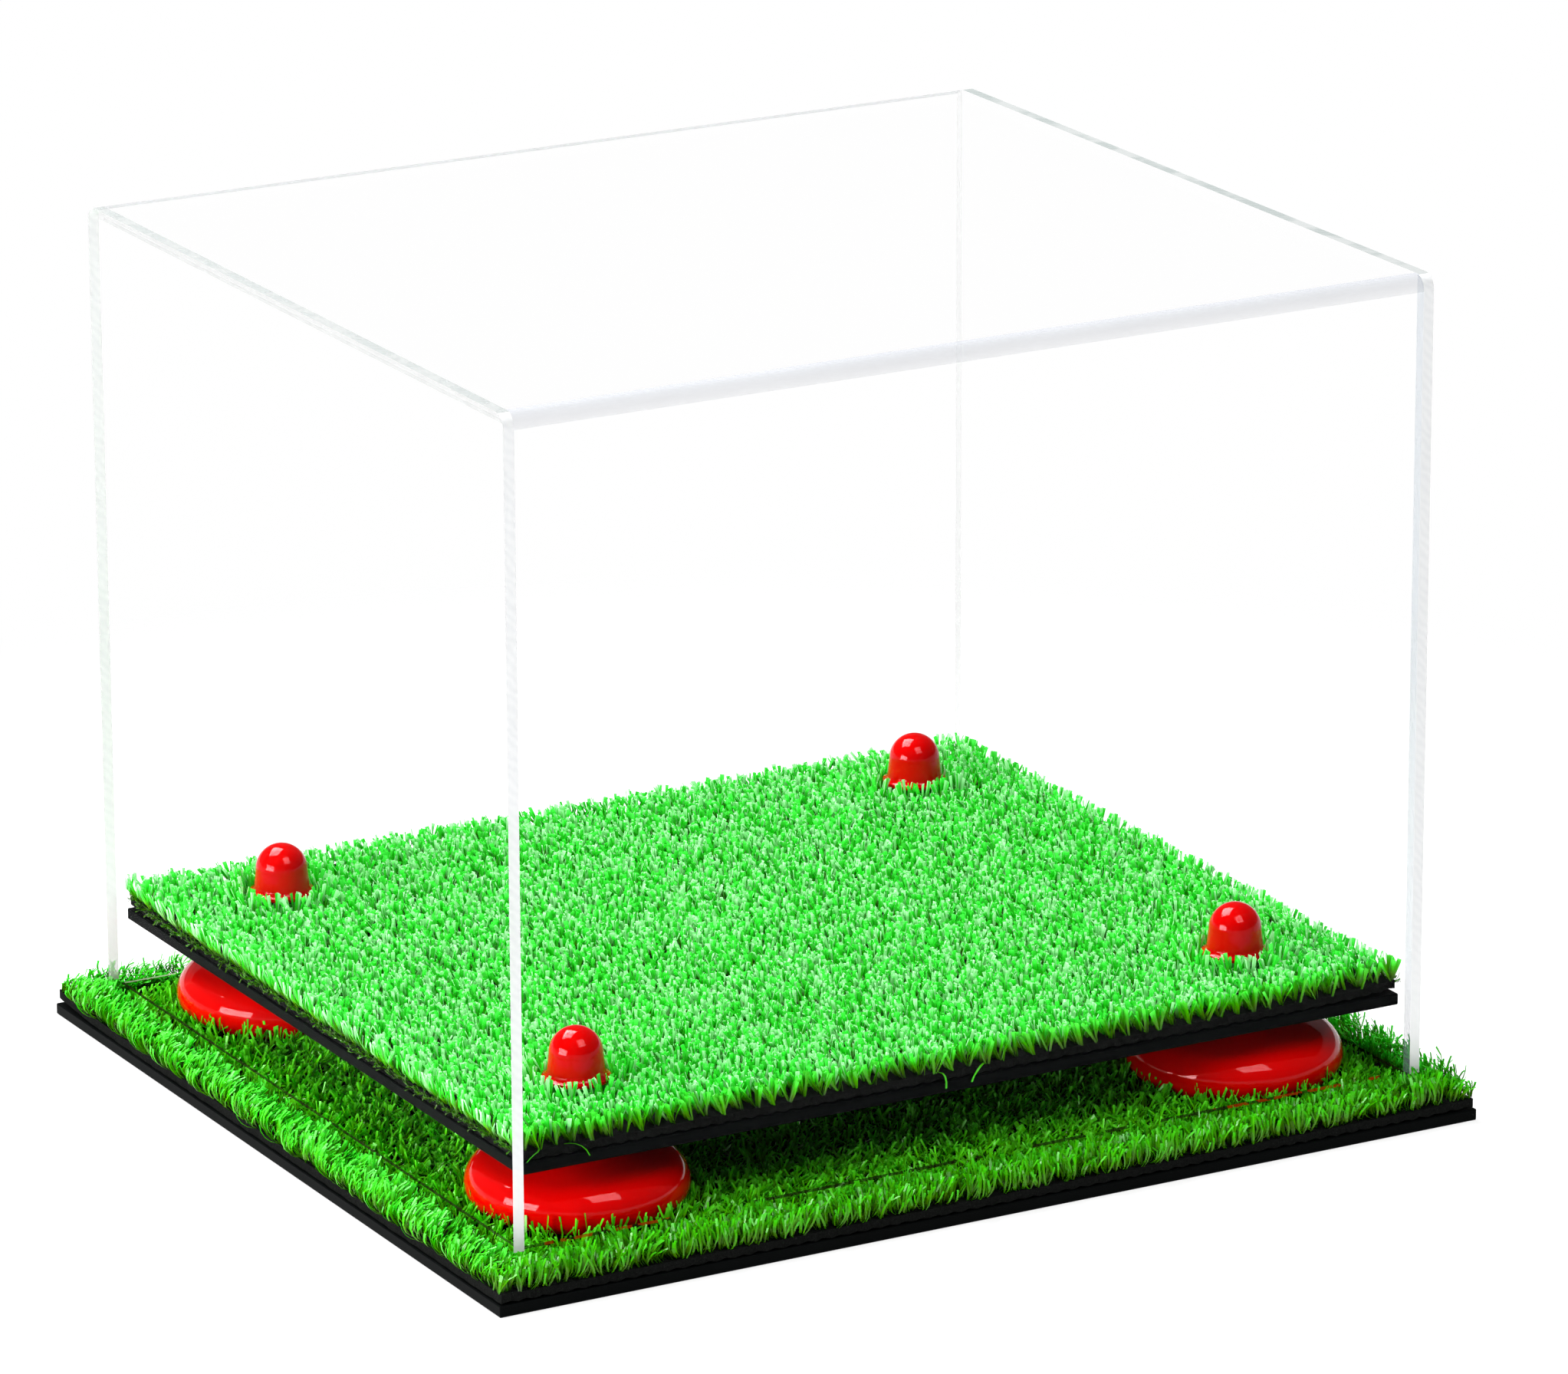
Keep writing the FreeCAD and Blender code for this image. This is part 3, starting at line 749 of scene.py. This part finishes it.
def stand(x, y, z, turn, tall, lean_x, lean_y):
    """The matrix that roots a tuft at a place, turned, stretched and leaned."""
    leaned = Matrix(((1, 0, lean_x, 0), (0, 1, lean_y, 0), (0, 0, tall, 0), (0, 0, 0, 1)))
    return Matrix.Translation((x, y, z)) @ leaned @ Matrix.Rotation(turn, 4, "Z")


def towards(direction):
    """The turn about the upright that brings a tuft's own lean to a direction."""
    return math.atan2(-direction[0], direction[1])


def push_out(spot, axis_x, axis_y, radius):
    """Move a point out of an upright round post."""
    away = math.hypot(spot.x - axis_x, spot.y - axis_y)
    if away < radius:
        grow = radius / max(away, 1e-6)
        spot.x = axis_x + (spot.x - axis_x) * grow
        spot.y = axis_y + (spot.y - axis_y) * grow


def hold_within(spot, half_x, half_y):
    """Keep a point inside a box, flattened rather than cut off."""
    for axis, half in enumerate((half_x, half_y)):
        over = abs(spot[axis]) - half
        if over > 0.0:
            spot[axis] = math.copysign(half + over * GIVE, spot[axis])


print("sowing is ready")

# %% [markdown]
# ## The stage's turf
# On the stage the blades are broad, upright and cleanly cut. Rows run from front to back, so
# along the front edge the tufts stand apart as a row of Vs. There one sees them down to the root,
# and the front row takes the combed strips, which are painted darker below, as the shade that
# falls between them. Under a cap's rim the blades are pressed short, and round it they stand up.
# It is more than one piece may hold, so it is sown in bands.

# %% Rows of stitches
GAUGE = 6.2 * MM
STITCH = 4.0 * MM
SLIP_ACROSS, SLIP_ALONG = 0.25, 0.5
EDGE_INSET = 1.3 * MM


def stitched(pile, backing):
    """The rectangle that is stitched, close to the edges of the backing, at the pile's height."""
    low, high = (Vector(corner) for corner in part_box(backing))
    inset = Vector((EDGE_INSET, EDGE_INSET, 0.0))
    low, high = low + inset, high - inset
    low.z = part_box(pile)[0][2]
    return low, high


def rows(low, high, gauge, stitch, rng):
    """Stitches in straight rows over a rectangle, each a little out of place."""
    count_x = round((high[0] - low[0]) / gauge)
    count_y = round((high[1] - low[1]) / stitch)
    for column in range(count_x + 1):
        slip = rng.uniform(-0.5, 0.5) * stitch
        for row in range(count_y + 1):
            x = low[0] + column * (high[0] - low[0]) / count_x + rng.gauss(0, SLIP_ACROSS) * MM
            y = low[1] + row * (high[1] - low[1]) / count_y + rng.gauss(0, SLIP_ALONG) * MM
            yield column / (count_x + 1), x, min(max(y + slip, low[1]), high[1])


print("rows every", GAUGE / MM, "mm, stitches every", STITCH / MM, "mm")

# %% What stands on the stage
WALL_GAP = 0.3 * MM
PILE_GAP = 0.6 * MM
RIM_BELOW = 0.5 * MM

stage_low, stage_high = stitched("platform_pile", "platform_turf_backing")
room_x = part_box("cover_bent_sheet")[1][0] - WALL_GAP
room_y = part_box("base_field_pile")[1][1] + PILE_GAP - WALL_GAP
CAP_AXES = []
for name in nodes:
    if name.startswith("riser_cap"):
        low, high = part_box(name)
        CAP_AXES.append(((low[0] + high[0]) / 2, (low[1] + high[1]) / 2))
rim_low, rim_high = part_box("riser_cap_front_left")
RIM_RADIUS = (rim_high[0] - rim_low[0]) / 2


def near_axis(x, y):
    """How far the nearest of the riser axes is."""
    return min(math.hypot(x - axis_x, y - axis_y) for axis_x, axis_y in CAP_AXES)


def press_stage(spot):
    """Keep a point of the stage's turf inside the cover and outside the caps."""
    hold_within(spot, room_x, room_y)
    if spot.z > rim_low[2] - RIM_BELOW:
        for axis in CAP_AXES:
            push_out(spot, *axis, RIM_RADIUS + WALL_GAP)


print(f"{len(CAP_AXES)} caps, rim radius {RIM_RADIUS / MM:.1f} mm")

# %% Sow the stage
STAGE_BANDS = 4
FRONT_ROW = 3.0 * MM
SCREW_CLEAR = 4.0 * MM
RIM_PRESS, RIM_RING = 1.0 * MM, 6.5 * MM
PRESSED, RAISED = 0.68, 1.45
STAGE_TALL = (1.0, 0.03)
STAGE_LEAN_X, STAGE_LEAN_Y = (-0.15, 0.08), (-0.05, 0.08)
STAGE_TURN = 0.25

sower = random.Random(23)
bands = [[] for _ in range(STAGE_BANDS)]
half = Vector((stage_high[0], stage_high[1], 0.0))
for share, x, y in rows(stage_low, stage_high, GAUGE, STITCH, sower):
    away = near_axis(x, y)
    tall = sower.gauss(*STAGE_TALL)
    if away < SCREW_CLEAR:
        continue
    if away < RIM_RADIUS + RIM_PRESS:
        tall = PRESSED
    elif away < RIM_RADIUS + RIM_RING:
        tall *= RAISED
    turn = sower.choice((0.0, math.pi)) + sower.gauss(0.0, STAGE_TURN)
    z = stage_low[2] + curl(Vector((x, y, 0)), half.x, half.y, STAGE_LIFTS)
    matrix = stand(x, y, z, turn, tall, sower.gauss(*STAGE_LEAN_X), sower.gauss(*STAGE_LEAN_Y))
    # Painted shade: the front row takes the darker-rooted strips.
    kind = "front" if y < stage_low.y + FRONT_ROW else "stage"
    bands[int(share * STAGE_BANDS)].append((sower.choice(tufts[kind]), matrix))
for number, places in enumerate(bands, start=1):
    piece = sow(f"stage_turf_{number}", places, press_stage)
    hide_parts("platform_pile")

# %% [markdown]
# ## Cut ends and strays
# Left and right, the knife ran along a row of stitches, and its stubs stick out of the backing's
# side. They are mostly root and are painted near black, as the shade under the turf above. Along
# the front a few long strands have worked loose.

# %% Sow stubs and strays
STUB_STEP = 2.6 * MM
STUB_OUT = 0.9 * MM
STUB_DROP = (0.2, 1.4)
STUB_TURN = 0.3
STRAYS = ((-163.0, -0.3), (-154.0, 1.4), (-14.0, 0.3), (6.5, -0.8))

places = []
for side in (-1.0, 1.0):
    count = round((stage_high.y - stage_low.y) / STUB_STEP)
    for index in range(count + 1):
        x = side * (stage_high.x + STUB_OUT)
        y = stage_low.y + index * STUB_STEP
        lifted = curl(Vector((x, y, 0)), half.x, half.y, STAGE_LIFTS)
        z = stage_low.z + lifted - sower.uniform(*STUB_DROP) * MM
        turn = towards((side, 0.0)) + sower.gauss(0.0, STUB_TURN)
        places.append((sower.choice(tufts["stubble"]), stand(x, y, z, turn, 1.0, 0.0, 0.0)))
for x, aside in STRAYS:
    turn = towards((aside, -1.0))
    matrix = stand(x * MM, stage_low.y, stage_low.z, turn, 1.0, 0.0, 0.0)
    places.append((sower.choice(tufts["stray"]), matrix))
piece = sow("stage_turf_stubs", places, press_stage)
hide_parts("platform_pile")

# %% [markdown]
# ## The base's turf inside the cover
# Under the stage the same turf has been pressed and handled: thinner, crimped strands that
# stand at all angles. The feet sink into it, so no tuft is set under them, and round them the
# strands that they push aside stand up.

# %% What stands in the field
SLIT = 0.4 * MM
FOOT_EDGE = 8.0 * MM
field_low, field_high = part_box("base_field_pile")
foot_low, foot_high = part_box("riser_foot_front_left")
FOOT_RADIUS = (foot_high[0] - foot_low[0]) / 2
foot_middle_z = foot_low[2] + FOOT_EDGE


def press_field(spot):
    """Keep a point of the field inside the cover and outside the feet's round edges."""
    hold_within(spot, room_x - SLIT, room_y - SLIT)
    drop = min(max(foot_middle_z - spot.z, 0.0), FOOT_EDGE)
    reach = FOOT_RADIUS - FOOT_EDGE + math.sqrt(FOOT_EDGE ** 2 - drop ** 2)
    for axis in CAP_AXES:
        push_out(spot, *axis, reach + WALL_GAP)


print(f"foot radius {FOOT_RADIUS / MM:.1f} mm")

# %% Sow the field of the base
FIELD_BANDS = 4
FOOT_TUCK, FOOT_RING = 1.0 * MM, 5.0 * MM
FIELD_TALL, FIELD_BY_FOOT, FIELD_UNEVEN = 0.95, 1.35, 0.1
FIELD_LEAN_X, FIELD_LEAN_Y = (0.1, 0.25), (-0.1, 0.25)
FIELD_TURN = 0.5

bands = [[] for _ in range(FIELD_BANDS)]
for share, x, y in rows(field_low, field_high, GAUGE, STITCH, sower):
    away = near_axis(x, y)
    if away < FOOT_RADIUS - FOOT_TUCK:
        continue
    turn = sower.choice((0.0, math.pi)) + sower.gauss(0.0, FIELD_TURN)
    tall = FIELD_BY_FOOT if away < FOOT_RADIUS + FOOT_RING else FIELD_TALL
    matrix = stand(x, y, field_low[2], turn, sower.gauss(tall, FIELD_UNEVEN),
                   sower.gauss(*FIELD_LEAN_X), sower.gauss(*FIELD_LEAN_Y))
    bands[int(share * FIELD_BANDS)].append((sower.choice(tufts["field"]), matrix))
for number, places in enumerate(bands, start=1):
    piece = sow(f"base_field_turf_{number}", places, press_field)
    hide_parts("base_field_pile")

# %% [markdown]
# ## The base's turf outside the cover
# The border has been combed by hands and by the cover going on and off. Its strands lean
# against the cover and along it, to the front on the sides and to the right on the front. Those
# of the outer rows have nothing beside them, so they bulge out over the backing's edge first.
# A noise turns and stretches neighbours alike, which gives the whorls of combed turf. Along the
# front the strands are painted without their pale tips, as the shade that the stage casts there.

# %% What the border leans on
SIDES_ALONG, FRONT_ALONG = Vector((0.0, -0.25)), Vector((0.7, 0.0))
border_low, border_high = stitched("base_border_pile", "base_turf_backing")
wall_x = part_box("cover_right_panel")[1][0] + WALL_GAP
wall_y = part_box("cover_bent_sheet")[1][1] + WALL_GAP


def press_border(spot):
    """Keep a point of the border outside the cover."""
    over_x, over_y = wall_x - abs(spot.x), wall_y - abs(spot.y)
    if over_x > 0.0 and over_y > 0.0:
        if over_x < over_y:
            spot.x = math.copysign(wall_x - over_x * GIVE, spot.x)
        else:
            spot.y = math.copysign(wall_y - over_y * GIVE, spot.y)


def combed(x, y):
    """The way that the border's strands have been combed at a place."""
    if border_high[0] - abs(x) < border_high[1] - abs(y):
        return Vector((-math.copysign(1.0, x), 0.0)) + SIDES_ALONG
    return Vector((0.0, -math.copysign(1.0, y))) + FRONT_ALONG


print(f"walls at {wall_x / MM:.1f} and {wall_y / MM:.1f} mm")

# %% Sow the border
BORDER_STEP = 3.4 * MM
BORDER_BANDS = 3
WALL_CLEAR = 0.8 * MM
EDGE_ROWS = 5.5 * MM
CORNER = 8.0 * MM
WHORL = 11.0 * MM
WHORL_TURN, WHORL_TALL = 1.2, 0.25
BORDER_TALL, BACK_TALL, BORDER_UNEVEN = 0.85, 0.65, 0.06
BORDER_TURN, BORDER_LEAN = 0.3, 0.1

bands = [[] for _ in range(BORDER_BANDS)]
half = Vector((border_high[0], border_high[1], 0.0))
for share, x, y in rows(border_low, border_high, BORDER_STEP, BORDER_STEP, sower):
    if abs(x) < wall_x + WALL_CLEAR and abs(y) < wall_y + WALL_CLEAR:
        continue
    to_edge = min(border_high[0] - abs(x), border_high[1] - abs(y))
    to_corner = max(border_high[0] - abs(x), border_high[1] - abs(y))
    z = border_low[2] + curl(Vector((x, y, 0)), half.x, half.y, BASE_LIFTS)
    whorl = noise.noise(Vector((x, y, 0.0)) / WHORL)
    turn = towards(combed(x, y)) + WHORL_TURN * whorl + sower.gauss(0.0, BORDER_TURN)
    looped = to_edge < EDGE_ROWS and to_corner > CORNER
    # The front border takes the shaded kinds: painted shade.
    if y < -wall_y:
        kind = "shaded_edge" if looped else "shaded"
    else:
        kind = "edge" if looped else "border"
    tuft = sower.choice(tufts[kind])
    tall = BACK_TALL if y > wall_y else BORDER_TALL
    tall += WHORL_TALL * whorl + sower.gauss(0.0, BORDER_UNEVEN)
    matrix = stand(x, y, z, turn, tall, sower.gauss(0.0, BORDER_LEAN), sower.gauss(0.0, BORDER_LEAN))
    bands[int(share * BORDER_BANDS)].append((tuft, matrix))
for number, places in enumerate(bands, start=1):
    piece = sow(f"base_border_turf_{number}", places, press_border)
    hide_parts("base_border_pile")

# %% [markdown]
# ## The backing
# Under the blades is a black, matted sheet. Each row of stitches makes a ridge on its underside,
# so its front edge is scalloped, and its cut edge is ragged. A grid with four lines to a row is
# given its thickness, and the lower side is pulled down where the ridges are.

# %% Backing black
LINT_ABOVE = 0.68


def backing_black():
    finish = Finish(bpy.data.materials.new("turf_backing"))
    spot = finish.spot()
    mat = finish.noise(spot, 900.0, 6.0)
    lint = finish.noise(spot, 2600.0, 2.0) > LINT_ABOVE
    tint = finish.mix(mat, colour(0.001, 0.0011, 0.001), colour(0.006, 0.0065, 0.006))
    linty = finish.mix(lint * 0.1, tint, colour(0.08, 0.1, 0.08))
    felt = finish.bump(mat, 0.8, 0.0006)
    rough = 0.85 + mat * 0.1
    return finish.done(finish.shine(
        Base_Color=linty, Roughness=rough, Normal=felt, Specular_IOR_Level=0.03))


BACKING_BLACK = backing_black()
print("backing black done")

# %% Make a backing sheet
RIDGE = 0.65 * MM
RAGGED = 0.35 * MM
RAGGED_IN, RAGGED_OUT = -1.0, 0.3
LINES_TO_A_ROW = 4
CROSS_LINES = 3.0 * MM


def make_backing(name, node, lifts, rng):
    """The matted black sheet that one piece of turf is stitched through."""
    low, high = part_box(node)
    wide, deep, thick = (high[axis] - low[axis] for axis in range(3))
    row_count = round(wide / GAUGE)
    count_x, count_y = row_count * LINES_TO_A_ROW, round(deep / CROSS_LINES)
    bm = bmesh.new()
    bmesh.ops.create_grid(bm, x_segments=count_x, y_segments=count_y, size=0.5)
    bmesh.ops.scale(bm, vec=(wide, deep, 1.0), verts=bm.verts)
    for vert in bm.verts:
        if vert.is_boundary:
            ragged_x = rng.uniform(RAGGED_IN, RAGGED_OUT) * RAGGED
            ragged_y = rng.uniform(RAGGED_IN, RAGGED_OUT) * RAGGED
            vert.co.x += math.copysign(1.0, vert.co.x) * ragged_x
            vert.co.y += math.copysign(1.0, vert.co.y) * ragged_y
    bmesh.ops.solidify(bm, geom=bm.faces[:], thickness=thick)
    bmesh.ops.recalc_face_normals(bm, faces=bm.faces)
    bottom = min(vert.co.z for vert in bm.verts)
    bmesh.ops.translate(bm, vec=(0, 0, low[2] - bottom), verts=bm.verts)
    for vert in bm.verts:
        if vert.co.z < low[2] + thick / 2:
            ridge = 0.5 + 0.5 * math.cos(math.tau * (vert.co.x - low[0]) / wide * row_count)
            vert.co.z -= RIDGE * ridge
        vert.co.z += curl(vert.co, high[0], high[1], lifts)
    mesh = bpy.data.meshes.new(name)
    bm.to_mesh(mesh)
    print(f"{name}: {len(bm.faces)} faces")
    bm.free()
    mesh.materials.append(BACKING_BLACK)
    piece = bpy.data.objects.new(name, mesh)
    bpy.context.collection.objects.link(piece)
    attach(piece, "base")
    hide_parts(node)
    return piece


make_backing("base_backing", "base_turf_backing", BASE_LIFTS, sower)
make_backing("stage_backing", "platform_turf_backing", STAGE_LIFTS, sower)

# %% [markdown]
# ## The studio
# Three soft boxes light the case. A high one behind it shines through the blades, a low wide one
# on the left gives caps and feet their long highlight, and one above the front their square
# one. The world adds a little even light, so that nothing is quite black. The floor is plain
# white, fades into an even white further out, and turns up far away, so that a low view ends on
# white too. A white world could do that as well, but the red pieces would mirror it and go milky.

# %% Floor white
FADE_FROM, FADE_TO = 0.2, 0.6
WHITE_NEAR = 0.75


def floor_white():
    finish = Finish(bpy.data.materials.new("floor_white"))
    spot = finish.spot()
    grain = finish.noise(spot, 40.0)
    tint = finish.mix(grain, colour(0.93, 0.93, 0.93), colour(0.96, 0.96, 0.96))
    paper = finish.shine(Base_Color=tint, Roughness=0.9)
    away = finish.node("ShaderNodeVectorMath", {"operation": "LENGTH"}, {0: spot}, out="Value")
    far = finish.node("ShaderNodeMapRange", {"interpolation_type": "SMOOTHSTEP"}, {
        "Value": away, "From Min": FADE_FROM, "From Max": FADE_TO, "To Min": WHITE_NEAR})
    path = finish.node("ShaderNodeLightPath")
    mirrored = path.output("Is Glossy Ray") | path.output("Is Transmission Ray")
    seen = path.output("Is Camera Ray") | mirrored
    white = finish.node("ShaderNodeEmission", (), {"Strength": 1.0})
    return finish.done(finish.node("ShaderNodeMixShader", (), {0: far * seen, 1: paper, 2: white}))


FLOOR_WHITE = floor_white()
print("floor even from", FADE_TO, "m out")

# %% Floor and world
FLOOR_REACH = 60.0
FLOOR_SIDES = 64
FLOOR_DROP = 0.2 * MM
BACKDROP_HIGH = 5.0
WORLD_LIGHT = 0.14


def pale_world(light):
    """A world that lights everything a little and evenly."""
    world = bpy.data.worlds.new("pale_studio")
    bpy.context.scene.world = world
    finish = Finish(world)
    sockets = {"Color": colour(1, 1, 1), "Strength": light}
    finish.done(finish.node("ShaderNodeBackground", (), sockets))


bm = bmesh.new()
bmesh.ops.create_circle(bm, cap_ends=True, segments=FLOOR_SIDES, radius=FLOOR_REACH)
bmesh.ops.translate(bm, vec=(0, 0, -FLOOR_DROP), verts=bm.verts)
rim = [edge for edge in bm.edges if edge.is_boundary]
raised = bmesh.ops.extrude_edge_only(bm, edges=rim)["geom"]
raised = [item for item in raised if isinstance(item, bmesh.types.BMVert)]
bmesh.ops.translate(bm, vec=(0, 0, BACKDROP_HIGH), verts=raised)
floor_mesh = bpy.data.meshes.new("floor")
bm.to_mesh(floor_mesh)
bm.free()
floor_mesh.materials.append(FLOOR_WHITE)
floor = bpy.data.objects.new("floor", floor_mesh)
bpy.context.collection.objects.link(floor)
pale_world(WORLD_LIGHT)
print("floor of", len(floor_mesh.polygons), "faces, world of", WORLD_LIGHT)

# %% Soft boxes
AIM = Vector((0.0, 0.0, 0.06))


def soft_box(name, azimuth, elevation, distance, width, height, watts):
    """A flat lamp that faces the case from a direction given in degrees."""
    turn, rise = math.radians(azimuth), math.radians(elevation)
    lamp = bpy.data.lights.new(name, "AREA")
    lamp.shape = "RECTANGLE"
    lamp.size = width
    lamp.size_y = height
    lamp.energy = watts
    box = bpy.data.objects.new(name, lamp)
    box.matrix_world = (
        Matrix.Translation(AIM)
        @ Matrix.Rotation(turn, 4, "Z")
        @ Matrix.Rotation(math.pi / 2 - rise, 4, "X")
        @ Matrix.Translation((0, 0, distance)))
    bpy.context.collection.objects.link(box)
    print(f"{name}: {width} by {height} m, {watts} W")


soft_box("back_soft_box", azimuth=-150.0, elevation=62.0, distance=1.8,
         width=1.3, height=1.1, watts=86.0)
soft_box("front_soft_box", azimuth=2.0, elevation=52.0, distance=1.8,
         width=0.85, height=0.95, watts=22.0)
soft_box("left_soft_box", azimuth=-84.0, elevation=10.0, distance=1.6,
         width=1.0, height=0.55, watts=39.0)
